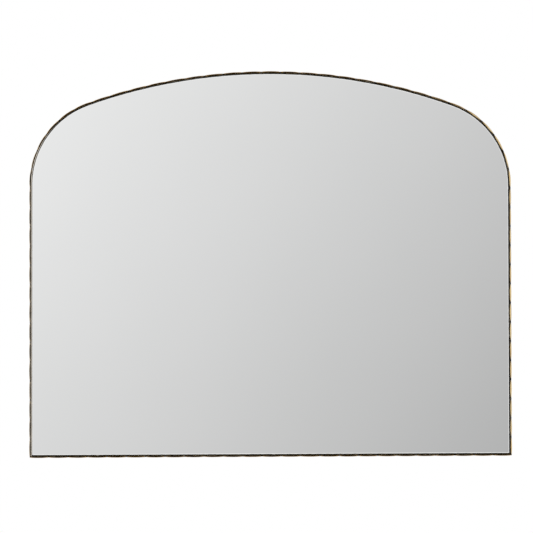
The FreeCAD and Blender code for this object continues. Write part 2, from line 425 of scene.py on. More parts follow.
finishes = {
    "rim": agedGold(),
    "mirror": silveredMirror("silveredMirror", 0.001, 0.003),
    "bevel": silveredMirror("silveredBevel", 0.012, 0.03),
    "glassEdge": groundGlass(),
    "gasket": gasketRubber(),
    "board": rawFibreboard(),
    "paint": bronzePaint(),
    "zinc": platedSteel("brightZinc", (0.50, 0.51, 0.53), (0.68, 0.69, 0.70), (0.24, 0.42)),
    "nickel": platedSteel("nickelPlate", (0.55, 0.53, 0.50), (0.70, 0.68, 0.64), (0.2, 0.38), (1, 1, 0.08)),
    "bumper": bumperRubber(),
    "foam": foamTape(),
    "film": wovenFilm(),
}
print("finishes made:", len(finishes))


# The arch: straight sides, two tight shoulders and a flat crown, each running smoothly into the next

archShape = {"shoulderRadius": 0.180, "crownRadius": 1.125, "bendSteps": 280}

rimLow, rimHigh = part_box("rim_arch")
halfWidth = rimHigh.x
topZ = rimHigh.z
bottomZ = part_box("rim_bottom")[0].z
shoulderX = halfWidth - archShape["shoulderRadius"]
crownZ = topZ - archShape["crownRadius"]
centreGap = archShape["crownRadius"] - archShape["shoulderRadius"]
springZ = crownZ + sqrt(centreGap**2 - shoulderX**2)
joinAngle = acos(shoulderX / centreGap)
sideLength = springZ - bottomZ
shoulderLength = archShape["shoulderRadius"] * joinAngle
archLength = 2 * (sideLength + shoulderLength) + archShape["crownRadius"] * (pi - 2 * joinAngle)
bottomLength = 2 * halfWidth


def archStation(run):  # place on the outer line, and outward direction, from the lower left corner round
    onRight = run > archLength / 2
    climbed = archLength - run if onRight else run
    if climbed < sideLength:
        angle = pi
        x, z = -halfWidth, bottomZ + climbed
    elif climbed < sideLength + shoulderLength:
        angle = pi - (climbed - sideLength) / archShape["shoulderRadius"]
        x = -shoulderX + archShape["shoulderRadius"] * cos(angle)
        z = springZ + archShape["shoulderRadius"] * sin(angle)
    else:
        angle = pi / 2 + (archLength / 2 - climbed) / archShape["crownRadius"]
        x = archShape["crownRadius"] * cos(angle)
        z = crownZ + archShape["crownRadius"] * sin(angle)
    if onRight:
        x, angle = -x, pi - angle
    return Vector((x, 0, z)), Vector((cos(angle), 0, sin(angle)))


def bottomStation(run):  # from the lower right corner to the lower left
    return Vector((halfWidth - run, 0, bottomZ)), Vector((0, 0, -1))


def outlineLoop(inset, y):
    loop = [(-halfWidth + inset, y, bottomZ + inset)]
    bendLength = archLength - 2 * sideLength
    for step in range(archShape["bendSteps"] + 1):
        place, outward = archStation(sideLength + bendLength * step / archShape["bendSteps"])
        place = place - outward * inset
        loop.append((place.x, y, place.z))
    loop.append((halfWidth - inset, y, bottomZ + inset))
    return loop


def loftOutline(name, rings, ends, sharpDegrees=15):
    loops = [outlineLoop(inset, y) for inset, y in rings]
    return addObject(name, loftMesh(name, loops, ends, sharpDegrees))


# Hammered rim: a flat bar swept along the arch, with a row of lens-shaped blows on its front edge

rimBar = {
    "thickness": 0.0050,
    "arris": 0.0004,  # rounding of the plain edges
    "markPitch": 0.040,
    "markWidth": 0.0035,  # widest part of a blow, seen from the front
    "rubbedLip": 0.00006,  # gold fades to the dark flat over this width
    "innerChamfer": 0.0010,
    "blowCrown": 0.0003,  # how far the middle of a blow stands proud of flat
    "markEndWidth": 0.0003,
    "markDepth": 0.0040,  # from the front edge back
    "markSpread": 0.0011,  # metal pushed outwards by a blow
    "bluntness": 0.6,  # below 1 a blow fills out nearer to its ends
    "backSpreadShare": 0.6,
    "stepsPerMark": 16,
    "unevenness": 0.16,
    "wideShare": 0.6,  # a blow's width grows by less of the unevenness than it shrinks by
    "deepest": 1.05,
    "dentHeight": 0.00016,
    "dentScale": 130.0,
    "mitreEase": 0.02,
    "sideWear": 0.3,  # how dark the outer side turns between blows
    "goldSwell": (0.06, 0.45),  # a blow turns from dark to gold as it swells
    "seed": 7,
}
barDepth = rimHigh.y - rimLow.y
# what the bar's node tree takes from these values
barInputs = ("markWidth", "markEndWidth", "markSpread", "bluntness", "unevenness")
barInputs += ("dentHeight", "dentScale", "sideWear", "seed")
# what a row of the bar's section holds, in order
sectionValues = ("fixedIn", "outerShare", "blowShare", "depth", "gold", "spreadShare", "onBlow", "crown")


def barPath(name, length, stationAt):
    marks = round(length / rimBar["markPitch"])
    count = marks * rimBar["stepsPerMark"]
    runs = [length * step / count for step in range(count + 1)]
    stations = [stationAt(run) for run in runs]
    mitres = []
    for run, (place, outward) in zip(runs, stations):
        along = Vector((outward.z, 0, -outward.x))
        fromStart = max(0, 1 - run / rimBar["mitreEase"])
        fromEnd = max(0, 1 - (length - run) / rimBar["mitreEase"])
        mitres.append(along * (fromStart - fromEnd))
    mesh = bpy.data.meshes.new(name)
    edges = [(step, step + 1) for step in range(count)]
    mesh.from_pydata([place for place, outward in stations], edges, [])
    setAttribute(mesh, "markPlace", [step / rimBar["stepsPerMark"] for step in range(count + 1)])
    setAttribute(mesh, "outward", [outward for place, outward in stations], "FLOAT_VECTOR")
    setAttribute(mesh, "mitre", mitres, "FLOAT_VECTOR")
    return mesh


def barSection():
    thick, arris, blow = rimBar["thickness"], rimBar["arris"], rimBar["markDepth"]
    shallow = arris * roundMiddle
    backShare = rimBar["backSpreadShare"]
    ridge = thick - rimBar["innerChamfer"]
    rows = []

    def outer(depth, gold, inset=0.0):
        spread = 1 + (backShare - 1) * max(0, depth - blow) / (barDepth - blow)
        rows.append((inset, 1, 0, depth, gold, spread, 0, 0))

    outer(barDepth, 0.2, arris)
    outer(barDepth - shallow, 0.35, shallow)
    for share, gold in ((0.98, 0.45), (0.8, 0.45), (0.6, 0.5), (0.4, 0.55), (0.25, 0.6), (0.15, 0.7)):
        outer(barDepth * share, gold)
    for share in (0.0, 0.07, 0.2, 0.4, 0.6, 0.8, 0.94, 1.0):
        gold = 1 if 0 < share < 1 else 0.9
        crown = rimBar["blowCrown"] * 4 * share * (1 - share)
        rows.append((0, 1 - share, share, blow * (1 - share), gold, 1, 1, crown))
    rows.append((rimBar["rubbedLip"], 0, 1, 0, 0.06, 1, 1, 0))
    for inset, depth, gold in (
        (ridge, 0, 0.1),
        (ridge + shallow, shallow, 2),
        (thick - shallow, thick - ridge - shallow, 2),
        (thick, thick - ridge + shallow, 0.3),
        (thick, barDepth * 0.12, 0.1),
        (thick, barDepth * 0.5, 0.05),
        (thick, barDepth - arris, 0.1),
        (thick - shallow, barDepth - shallow, 0.3),
        (thick - arris, barDepth, 0.2),
    ):
        rows.append((inset, 0, 0, depth, gold, 1, 0, 0))
    places = [(row[0] + row[1] * arris + row[2] * thick / 2, row[3], 0) for row in rows]
    mesh = closedLine("barSection", places)
    for column, name in enumerate(sectionValues):
        setAttribute(mesh, name, [float(row[column]) for row in rows])
    return addObject("barSection", mesh)


def hammeredBarTree(values):
    tree, given = startTree("hammeredBar", values)
    path = output(tree, "GeometryNodeMeshToCurve", {"Mesh": given["Geometry"]})
    position = output(tree, "GeometryNodeInputPosition")
    path = storeAttribute(tree, path, "base", position, "FLOAT_VECTOR")
    section = addNode(tree, "GeometryNodeObjectInfo", {"Object": given["section"]}).outputs["Geometry"]
    section = output(tree, "GeometryNodeMeshToCurve", {"Mesh": section})
    sockets = {"Curve": path, "Profile Curve": section, "Fill Caps": True}
    sweep = output(tree, "GeometryNodeCurveToMesh", sockets)

    # each blow swells from nothing to full and back, a little differently from its neighbours
    place = readAttribute(tree, "markPlace")
    number = calc(tree, "FLOOR", place)
    phase = calc(tree, "FRACT", place)
    swell = times(tree, times(tree, phase, 4.0), minus(tree, 1.0, phase))
    swell = calc(tree, "POWER", swell, given["bluntness"])
    least = minus(tree, 1.0, given["unevenness"])
    spreadLuck = randomValue(tree, least, 1.0, number, given["seed"])
    most = plus(tree, 1.0, times(tree, given["unevenness"], rimBar["wideShare"]))
    widthLuck = randomValue(tree, least, most, number, plus(tree, given["seed"], 1))
    depthLuck = randomValue(tree, least, rimBar["deepest"], number, plus(tree, given["seed"], 2))

    base = readAttribute(tree, "base", "FLOAT_VECTOR")
    depth = readAttribute(tree, "depth")
    onBlow = readAttribute(tree, "onBlow")
    gold = readAttribute(tree, "gold")
    outerShare = readAttribute(tree, "outerShare")
    spreadShare = times(tree, readAttribute(tree, "spreadShare"), spreadLuck)
    outerLine = minus(tree, 1.0, times(tree, swell, spreadShare))
    outerLine = times(tree, outerLine, given["markSpread"])
    neck = plus(tree, given["markSpread"], given["markEndWidth"])
    neck = times(tree, neck, minus(tree, 1.0, swell))
    width = times(tree, times(tree, given["markWidth"], widthLuck), swell)
    blowLine = plus(tree, neck, width)
    inset = times(tree, outerShare, outerLine)
    inset = plus(tree, inset, times(tree, readAttribute(tree, "blowShare"), blowLine))
    inset = plus(tree, inset, readAttribute(tree, "fixedIn"))

    # small dents left by the hammer's face
    dents = noise(tree, calcVector(tree, "ADD", base, combine(tree, Y=depth)), given["dentScale"], 2)
    dents = times(tree, mapNoise(tree, dents, 0, 1), given["dentHeight"])
    crown = times(tree, readAttribute(tree, "crown"), swell)
    dented = minus(tree, calc(tree, "MULTIPLY_ADD", dents, gold, inset), crown)

    depthScale = mix(tree, onBlow, 1.0, depthLuck)
    deep = minus(tree, calc(tree, "MULTIPLY_ADD", depth, depthScale, given["front"]), crown)
    inwards = scaleVector(tree, readAttribute(tree, "outward", "FLOAT_VECTOR"), dented)
    mitred = scaleVector(tree, readAttribute(tree, "mitre", "FLOAT_VECTOR"), dented)
    placed = calcVector(tree, "SUBTRACT", base, inwards)
    placed = calcVector(tree, "ADD", placed, mitred)
    placed = calcVector(tree, "ADD", placed, combine(tree, Y=deep))
    shaped = output(tree, "GeometryNodeSetPosition", {"Geometry": sweep, "Position": placed})
    hammered = times(tree, outerShare, given["sideWear"])
    hammered = calc(tree, "MAXIMUM", hammered, onBlow)
    struck = mapRange(tree, swell, *rimBar["goldSwell"], 0, 1)
    rub = times(tree, gold, mix(tree, hammered, 1.0, struck))
    shaped = storeAttribute(tree, shaped, "rub", rub)
    endTree(tree, shaped, given["finish"])
    return tree


def makeRim():
    section = barSection()
    section.hide_render = True
    values = {"section": section, "front": rimLow.y, "finish": finishes["rim"]}
    values.update({name: rimBar[name] for name in barInputs})
    tree = hammeredBarTree(values)
    bars = (
        ("rimArch", "rim_arch", archLength, archStation),
        ("rimBottom", "rim_bottom", bottomLength, bottomStation),
    )
    for turn, (name, node, length, stationAt) in enumerate(bars):
        bar = addObject(name, barPath(name, length, stationAt))
        values["seed"] = rimBar["seed"] + 10 * turn
        runTree(bar, tree, values)
        bm = bmesh.new()
        bm.from_mesh(bar.data)
        bmesh.ops.recalc_face_normals(bm, faces=bm.faces[:])
        bm.to_mesh(bar.data)
        bm.free()
        softenMesh(bar.data, 24)
        dropAttributes(bar.data, *sectionValues, "base", "outward", "mitre", "markPlace")
        finishPiece(bar, "mirror", "rim_metal", node)
        print(name, "swept:", len(bar.data.polygons), "faces")
    bpy.data.objects.remove(section)


makeRim()


# Mirror pane, the dark gasket round it and the board behind it

pane = {
    "bevelWidth": 0.0018,
    "bevelDepth": 0.0003,
    "arris": 0.0003,
    "flatFacing": -0.999,  # faces that look forward more than this are the flat of the pane
    "bevelFacing": -0.9,
}
gasket = {"width": 0.0006, "round": 0.0002}
board = {"edgeRound": 0.0006}


def makePane():
    low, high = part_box("mirror_glass")
    inset = halfWidth - high.x
    arris, bevelWidth, bevelDepth = pane["arris"], pane["bevelWidth"], pane["bevelDepth"]
    rings = [
        (inset + bevelWidth, low.y),
        (inset + arris, low.y + bevelDepth),
        (inset, low.y + bevelDepth + arris),
        (inset, high.y - arris),
        (inset + arris, high.y),
    ]
    glass = loftOutline("mirrorPane", rings, "capped", 5)
    for finish in ("mirror", "bevel", "glassEdge"):
        glass.data.materials.append(finishes[finish])
    for face in glass.data.polygons:
        facing = face.normal.y
        face.material_index = 0 if facing < pane["flatFacing"] else 1 if facing < pane["bevelFacing"] else 2
    finishPiece(glass, "mirror", "mirror_pane", "mirror_glass")


def makeGasket():
    low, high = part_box("edge_gasket")
    outer = halfWidth - high.x
    inner, soft = outer + gasket["width"], gasket["round"]
    middle = soft * roundMiddle
    rings = [
        (outer, high.y),
        (outer, low.y + soft),
        (outer + middle, low.y + middle),
        (outer + soft, low.y),
        (inner - soft, low.y),
        (inner - middle, low.y + middle),
        (inner, low.y + soft),
        (inner, high.y),
    ]
    strip = loftOutline("edgeGasket", rings, "joined", 50)
    strip.data.materials.append(finishes["gasket"])
    finishPiece(strip, "mirror", "gasket_rubber", "edge_gasket")


def makeBoard():
    low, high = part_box("backing_board")
    inset, soft = halfWidth - high.x, board["edgeRound"]
    middle = soft * roundMiddle
    rings = [
        (inset + soft, low.y),
        (inset, low.y + soft),
        (inset, high.y - soft),
        (inset + middle, high.y - middle),
        (inset + soft, high.y),
    ]
    sheet = loftOutline("backingBoard", rings, "capped")
    sheet.data.materials.append(finishes["board"])
    finishPiece(sheet, "mirror", "fibreboard", "backing_board")


makePane()
makeGasket()
makeBoard()
print("pane, gasket and board lofted")


# Fixings on the back of the board

def lathe(name, profile, turns, sharpDegrees=35):  # profile of radius and height, turned about the Y axis
    rings = []
    angles = sweepAngles(360, turns)[:-1]
    for radius, height in profile:
        rings.append([(radius * cos(angle), height, radius * sin(angle)) for angle in angles])
    return loftMesh(name, rings, sharpDegrees=sharpDegrees)


def shapeWith(piece, kind, **settings):
    modifier = piece.modifiers.new("shape", kind)
    for key, value in settings.items():
        setattr(modifier, key, value)
    applyModifiers(piece)


def cutAway(piece, cutter):
    shapeWith(piece, "BOOLEAN", operation="DIFFERENCE", solver="EXACT", object=cutter)
    bpy.data.objects.remove(cutter)


def bevelEdges(piece, width, limitDegrees):
    limit = radians(limitDegrees)
    shapeWith(piece, "BEVEL", width=width, segments=2, limit_method="ANGLE", angle_limit=limit)


def placedCopiesTree(values):
    tree, given = startTree("placedCopies", values)
    info = {"Object": given["piece"], "As Instance": True}
    piece = addNode(tree, "GeometryNodeObjectInfo", info).outputs["Geometry"]
    number = output(tree, "GeometryNodeInputIndex")
    least = times(tree, given["turnSpread"], -1.0)
    luck = randomValue(tree, least, given["turnSpread"], number, given["seed"])
    turn = plus(tree, readAttribute(tree, "turn"), luck)
    sockets = {"Points": given["Geometry"], "Instance": piece, "Rotation": turnAboutY(tree, turn)}
    copies = output(tree, "GeometryNodeInstanceOnPoints", sockets)
    endTree(tree, copies, given["finish"])
    return tree


def turnedPoints(name, places, turns):
    mesh = bpy.data.meshes.new(name)
    mesh.from_pydata(places, [], [])
    setAttribute(mesh, "turn", turns)
    return addObject(name, mesh)


def placeCopies(name, original, places, turns, finish, turnSpread=0.0, seed=0):
    copies = turnedPoints(name, places, turns)
    values = {"piece": original, "turnSpread": turnSpread, "seed": seed, "finish": finish}
    tree = bpy.data.node_groups.get("placedCopies") or placedCopiesTree(values)
    runTree(copies, tree, values)
    dropAttributes(copies.data, "turn")
    bpy.data.objects.remove(original)
    return copies


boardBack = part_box("backing_board")[1].y

# Tabs welded to the inside of the rim, lying on the back of the board
tab = {
    "width": 0.020,
    "reach": 0.014,  # from the rim's inner wall to the screw
    "thickness": 0.002,
    "hole": 0.002,
    "edgeBevel": 0.0003,
    "archShares": (0.07, 0.2, 0.335, 0.5, 0.665, 0.8, 0.93),
    "bottomShares": (0.17, 0.5, 0.83),
}


def tabStations():
    stations = [archStation(archLength * share) for share in tab["archShares"]]
    stations += [bottomStation(bottomLength * share) for share in tab["bottomShares"]]
    screwInset = rimBar["thickness"] + tab["reach"]
    return [(place - outward * screwInset, outward) for place, outward in stations]


def makeTabs():
    radius, reach = tab["width"] / 2, tab["reach"]
    arcSteps, rootSteps = 24, 4
    outline = []
    for angle in sweepAngles(180, arcSteps):
        outline.append(Vector((radius * cos(angle), 0, -radius * sin(angle))))
    for step in range(rootSteps + 1):
        outline.append(Vector((radius * (2 * step / rootSteps - 1), 0, reach)))
    hole = [point.normalized() * tab["hole"] for point in outline]
    rise = Vector((0, tab["thickness"], 0))
    lines = [hole, outline, [point + rise for point in outline], [point + rise for point in hole]]
    leaf = addObject("tabLeaf", loftMesh("tabLeaf", lines, "joined"))
    bevelEdges(leaf, tab["edgeBevel"], 40)
    softenMesh(leaf.data, 35)
    stations = tabStations()
    places = [place + Vector((0, boardBack, 0)) for place, outward in stations]
    turns = [atan2(outward.x, outward.z) for place, outward in stations]
    tabs = placeCopies("retainingTabs", leaf, places, turns, finishes["paint"])
    nodes = [f"retaining_tab_{number + 1}" for number in range(len(stations))]
    finishPiece(tabs, "mirror", "tab_steel", *nodes)


# Weld beads along the roots of the tabs and up the two lower corners: a row of overlapping ripples
weld = {
    "ripple": 0.0013,
    "rippleSizes": (0.85, 1.15),
    "step": 0.0011,
    "halfLength": 0.008,
    "flatten": 0.75,
    "seed": 21,
}


def weldTree(values):
    tree, given = startTree("weldBead", values)
    ball = output(tree, "GeometryNodeMeshIcoSphere", {"Radius": given["ripple"], "Subdivisions": 2})
    ball = output(tree, "GeometryNodeSetShadeSmooth", {"Geometry": ball})
    number = output(tree, "GeometryNodeInputIndex")
    size = randomValue(tree, *weld["rippleSizes"], number, given["seed"])
    thin = times(tree, size, given["flatten"])
    scale = combine(tree, X=size, Y=size, Z=thin)
    rotation = turnAboutY(tree, readAttribute(tree, "turn"))
    sockets = {"Points": given["Geometry"], "Instance": ball, "Rotation": rotation, "Scale": scale}
    ripples = output(tree, "GeometryNodeInstanceOnPoints", sockets)
    endTree(tree, ripples, given["finish"])
    return tree


def makeWelds():
    places, turns = [], []
    tabBack = boardBack + tab["thickness"]
    count = round(weld["halfLength"] / weld["step"])
    for place, outward in tabStations():
        along = Vector((outward.z, 0, -outward.x))
        root = place + outward * tab["reach"] + Vector((0, tabBack, 0))
        for step in range(-count, count + 1):
            places.append(root + along * step * weld["step"])
            turns.append(atan2(outward.x, outward.z))
    cornerSteps = round((rimHigh.y - tabBack) / weld["step"])
    for side in (-1, 1):
        inner = rimBar["thickness"]
        corner = Vector((side * (halfWidth - inner), tabBack, bottomZ + inner))
        for step in range(cornerSteps):
            places.append(corner + Vector((0, step * weld["step"], 0)))
            turns.append(side * pi / 4)
    beads = turnedPoints("weldBeads", places, turns)
    values = {name: weld[name] for name in ("ripple", "flatten", "seed")}
    values["finish"] = finishes["paint"]
    runTree(beads, weldTree(values), values)
    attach(beads, "mirror")


# Pan head screws with a cross recess, through the tabs and the hanger straps into the board
screw = {
    "shankRadius": 0.00175,
    "tipLength": 0.002,
    "bite": 0.007,
    "threadPitch": 0.0013,
    "threadDepth": 0.0004,
    "headRadius": 0.0035,
    "headHeight": 0.0022,
    "headRimHeight": 0.0009,
    "headRound": 0.00025,
    "recessLength": 0.004,
    "recessWidth": 0.0009,
    "recessDepth": 0.0012,
    "recessTaper": 0.55,  # its floor as a share of its mouth
    "shankRows": 64,
    "domeSteps": 8,
    "turns": 40,
    "seed": 5,
}


def threadedScrew(name, clamped):
    shank, head, rise = screw["shankRadius"], screw["headRadius"], screw["headHeight"]
    lip, soft = screw["headRimHeight"], screw["headRound"]
    middle = soft * roundMiddle
    length = clamped + screw["bite"]
    dome = rise - lip
    domeRadius = (head**2 + dome**2) / (2 * dome)
    rows, steps = screw["shankRows"], screw["domeSteps"]
    profile = [(0, -length)]
    profile += [(shank, -length * (1 - row / rows)) for row in range(1, rows)]
    profile += [(shank, 0), (head - soft, 0), (head - middle, middle), (head, soft), (head, lip)]
    for step in range(1, steps + 1):
        radius = head * (1 - step / steps)
        profile.append((radius, rise - domeRadius + sqrt(domeRadius**2 - radius**2)))
    mesh = lathe(name, profile, screw["turns"])
    for vertex in mesh.vertices:  # the thread winds round the shank and fades into its point
        radius = hypot(vertex.co.x, vertex.co.z)
        if -length < vertex.co.y < -clamped * 0.5 and radius > shank * 0.5:
            angle = atan2(vertex.co.z, vertex.co.x) / (2 * pi)
            phase = (vertex.co.y / screw["threadPitch"] - angle) % 1.0
            core = min(1.0, (vertex.co.y + length) / screw["tipLength"])
            wanted = shank * core - screw["threadDepth"] * core * abs(2 * phase - 1)
            vertex.co.x *= wanted / radius
            vertex.co.z *= wanted / radius
    piece = addObject(name, mesh)
    long, wide, floor = screw["recessLength"] / 2, screw["recessWidth"] / 2, rise - screw["recessDepth"]
    corners = [(long, wide), (wide, wide), (wide, long)]
    outline = []
    for quarter in range(4):
        turn = Matrix.Rotation(-pi / 2 * quarter, 3, "Y")
        outline += [turn @ Vector((x, 0, z)) for x, z in corners]
    rings = []
    for height, share in ((floor, screw["recessTaper"]), (rise, 1), (rise * 2, 1)):
        rings.append([(point.x * share, height, point.z * share) for point in outline])
    cutAway(piece, addObject("recess", loftMesh("recess", rings, "capped")))
    softenMesh(piece.data, 30)
    return piece


def placeScrews(name, clamped, places, seed):
    original = threadedScrew("panScrew", clamped)
    turns = [0.0] * len(places)
    return placeCopies(name, original, places, turns, finishes["zinc"], pi, seed)


def makeRetainingScrews():
    back = Vector((0, boardBack + tab["thickness"], 0))
    places = [place + back for place, outward in tabStations()]
    screws = placeScrews("retainingScrews", tab["thickness"], places, screw["seed"])
    finishPiece(screws, "mirror", "screw_steel", "retaining_screws")


# Hanger straps: one strip folded round the ring's bar, with both leaves screwed to the board
hanger = {
    "width": 0.014,
    "sheet": 0.001,
    "foldGap": 0.0002,
    "screwDrops": (0.012, 0.030),
    "hole": 0.002,
    "edgeBevel": 0.00012,
    "wireRadius": 0.0015,
    "runningClearance": 0.0001,
    "bendRadius": 0.003,
    "legLength": 0.0065,
    "endPlay": 0.0015,
    "restGap": 0.0003,
    "wireSides": 24,
}
knuckleRadius = hanger["wireRadius"] + hanger["runningClearance"] + hanger["sheet"]
strapThickness = 2 * hanger["sheet"] + hanger["foldGap"]
hangers = [(joint["name"].split("_")[1], Vector(joint["pos_m"])) for joint in frame["joints"]]


def foldedPath():  # height off the board and drop below the ring's bar, along the middle of the sheet
    half, wrap = hanger["sheet"] / 2, knuckleRadius - hanger["sheet"] / 2
    upper = strapThickness - half
    bend = knuckleRadius - upper
    end = hanger["screwDrops"][1] + hanger["width"] / 2
    leafRows = 6
    leafDrops = [end - (1 - cos(angle)) * hanger["width"] / 2 for angle in sweepAngles(90, 10)]
    leafDrops += [hanger["screwDrops"][1] * (1 - row / leafRows) for row in range(1, leafRows)]
    path = [(half, drop) for drop in leafDrops]
    for angle in sweepAngles(270, 24, -90):
        path.append((knuckleRadius + wrap * sin(angle), -wrap * cos(angle)))
    for angle in sweepAngles(90, 8)[1:]:
        path.append((knuckleRadius - bend * sin(angle), wrap + bend * (1 - cos(angle))))
    return path + [(upper, drop) for drop in reversed(leafDrops) if drop > wrap + bend]


def makeStrap(side, hinge):
    half, columns = hanger["width"] / 2, 8
    bm = bmesh.new()
    rows = []
    for height, drop in foldedPath():
        past = min(half, max(0, drop - hanger["screwDrops"][1]))
        reach = sqrt(half**2 - past**2)
        spots = [2 * column / columns - 1 for column in range(columns + 1)]
        rows.append(
            [bm.verts.new((hinge.x + reach * spot, boardBack + height, hinge.z - drop)) for spot in spots]
        )
    for first, second in zip(rows, rows[1:]):
        for column in range(columns):
            bm.faces.new((first[column], first[column + 1], second[column + 1], second[column]))
    strap = addObject("hangerStrap." + side, closeMesh("hangerStrap", bm))
    shapeWith(strap, "SOLIDIFY", thickness=hanger["sheet"], offset=0.0, use_even_offset=True)
    bevelEdges(strap, hanger["edgeBevel"], 60)
    for drop in hanger["screwDrops"]:
        low, high = boardBack - hanger["sheet"], boardBack + 2 * strapThickness
        profile = [(0, low), (hanger["hole"], low), (hanger["hole"], high), (0, high)]
        drill = addObject("drill", lathe("drill", profile, 32))
        drill.data.transform(Matrix.Translation((hinge.x, 0, hinge.z - drop)))
        cutAway(strap, drill)
    softenMesh(strap.data, 35)
    strap.data.materials.clear()
    strap.data.materials.append(finishes["nickel"])
    finishPiece(strap, "mirror", "hanger_steel", "hanger_strap_" + side)


def makeHangerScrews():
    back = boardBack + strapThickness
    places = []
    for side, hinge in hangers:
        places += [(hinge.x, back, hinge.z - drop) for drop in hanger["screwDrops"]]
    screws = placeScrews("hangerScrews", strapThickness, places, screw["seed"] + 1)
    finishPiece(screws, "mirror", "screw_steel", "hanger_screws")


# D rings of round wire, swept along their own line
def roundWireTree(values):
    tree, given = startTree("roundWire", values)
    path = output(tree, "GeometryNodeMeshToCurve", {"Mesh": given["Geometry"]})
    sockets = {"Resolution": given["sides"], "Radius": given["radius"]}
    section = output(tree, "GeometryNodeCurvePrimitiveCircle", sockets, mode="RADIUS")
    wire = output(tree, "GeometryNodeCurveToMesh", {"Curve": path, "Profile Curve": section})
    wire = output(tree, "GeometryNodeSetShadeSmooth", {"Geometry": wire})
    endTree(tree, wire, given["finish"])
    return tree


def ringLine():
    bend, leg = hanger["bendRadius"], hanger["legLength"]
    side = hanger["width"] / 2 + hanger["endPlay"] + bend
    right = [(share * (side - bend), 0) for share in (0, 0.25, 0.5, 0.75)]
    for angle in sweepAngles(90, 8):
        right.append((side - bend + bend * sin(angle), bend - bend * cos(angle)))
    right += [(side, bend + leg * share) for share in (0.33, 0.67)]
    for angle in sweepAngles(90, 16):
        right.append((side * cos(angle), bend + leg + side * sin(angle)))
    return right + [(-x, z) for x, z in reversed(right[1:-1])], bend + leg + side


def makeRing(side, hinge):
    line, length = ringLine()
    lean = asin((knuckleRadius - hanger["wireRadius"] - hanger["restGap"]) / length)
    place = Matrix.Translation(hinge) @ Matrix.Rotation(lean, 4, "X")
    name = "hangerRing." + side
    ring = addObject(name, closedLine(name, [place @ Vector((x, 0, z)) for x, z in line]))
    values = {"radius": hanger["wireRadius"], "sides": hanger["wireSides"], "finish": finishes["nickel"]}
    tree = bpy.data.node_groups.get("roundWire") or roundWireTree(values)
    runTree(ring, tree, values)
    finishPiece(ring, "ring_" + side, "hanger_steel", "hanger_ring_" + side)


# Rubber bumpers: moulded cones with a soft edge and a shallow dish in the face
bumper = {
    "edgeRound": 0.0009,
    "faceShare": 0.875,
    "dishRadius": 0.004,
    "dishDepth": 0.0006,
    "dishSteps": 8,
    "turns": 48,
}


def makeBumpers():
    nodes = [f"wall_bumper_{number}" for number in (1, 2, 3, 4)]
    low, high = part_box(nodes[0])
    base, height, soft = (high.x - low.x) / 2, high.y - low.y, bumper["edgeRound"]
    face = base * bumper["faceShare"]
    profile = [(0, 0), (base, 0)]
    for angle in sweepAngles(90, 6):
        profile.append((face - soft * (1 - cos(angle)), height - soft * (1 - sin(angle))))
    for step in range(bumper["dishSteps"] + 1):
        share = 1 - step / bumper["dishSteps"]
        dip = bumper["dishDepth"] * (0.5 + 0.5 * cos(pi * share))
        profile.append((bumper["dishRadius"] * share, height - dip))
    original = addObject("bumperCone", lathe("bumperCone", profile, bumper["turns"], 40))
    places = []
    for node in nodes:
        low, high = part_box(node)
        places.append(((low.x + high.x) / 2, low.y, (low.z + high.z) / 2))
    bumpers = placeCopies("wallBumpers", original, places, [0.0] * len(places), finishes["bumper"])
    finishPiece(bumpers, "mirror", "bumper_rubber", *nodes)


makeTabs()
makeWelds()
makeRetainingScrews()
print("tabs, welds and their screws placed")
for side, hinge in hangers:
    makeStrap(side, hinge)
    makeRing(side, hinge)
makeHangerScrews()
print("hangers folded:", len(hangers))
makeBumpers()
print("bumpers turned")

# layers that keep their CAD shape
keptNodes = {"safety_film": "film"}
keptNodes.update({f"mounting_tape_{number}": "foam" for number in (1, 2, 3, 4, 5)})
for node, finish in keptNodes.items():
    for materialSlot in frame["nodes"][node].material_slots:
        materialSlot.material = finishes[finish]


# Stage: pale floor that fades into a white surround, soft light, and the photograph's view

stage = {
    "floorDrop": 0.34,
    "floorRadius": 8.0,
    "nearRadius": 0.55,
    "farRadius": 1.05,
    "ambient": 0.72,
    "lamps": (
        ("keyLamp", (1.9, -2.2, 1.6), 1.8, 34),
        ("fillLamp", (-2.4, -1.6, 0.8), 1.8, 16),
        ("rearLamp", (-0.8, 2.6, 1.4), 2.0, 30),
    ),
}

# what the pane and the metal reflect, by direction; the pairs are how far each part reaches round
surround = {
    "ahead": 0.705,
    "slopeX": -0.80,
    "slopeZ": 0.61,
    "toRing": (-0.968, -0.93),
    "toFrontSide": (-0.84, -0.72),
    "toWall": (0.3, 0.75),
    "wallBelow": -0.5,
    "dim": 0.02,
    "bright": 1.3,
    "room": 0.62,
    "roomSlope": 0.35,
    "toRearSide": (0.36, 0.60),
    "rear": 0.60,
    "rightGain": 0.9,
    "leftGain": 0.5,
    "belowGain": -0.10,
    "toBehind": (0.75, 0.98),
    "behind": 0.50,
    "warm": (1.0, 0.74, 0.34, 1.0),
    "toWarm": (0.15, 0.6),
    "toWarmSide": (-0.75, -0.5),
    "toCoolRight": (0.1, 0.7),
}

photoView = {
    "photoSize": 533,
    "distance": 3.0,
    "metresPerPixel": 0.0020706,
    "yaw": 1.362,
    "pitch": 0.818,
    "roll": -0.115,
    "aimX": -0.00993,
    "aimZ": -0.00592,
}


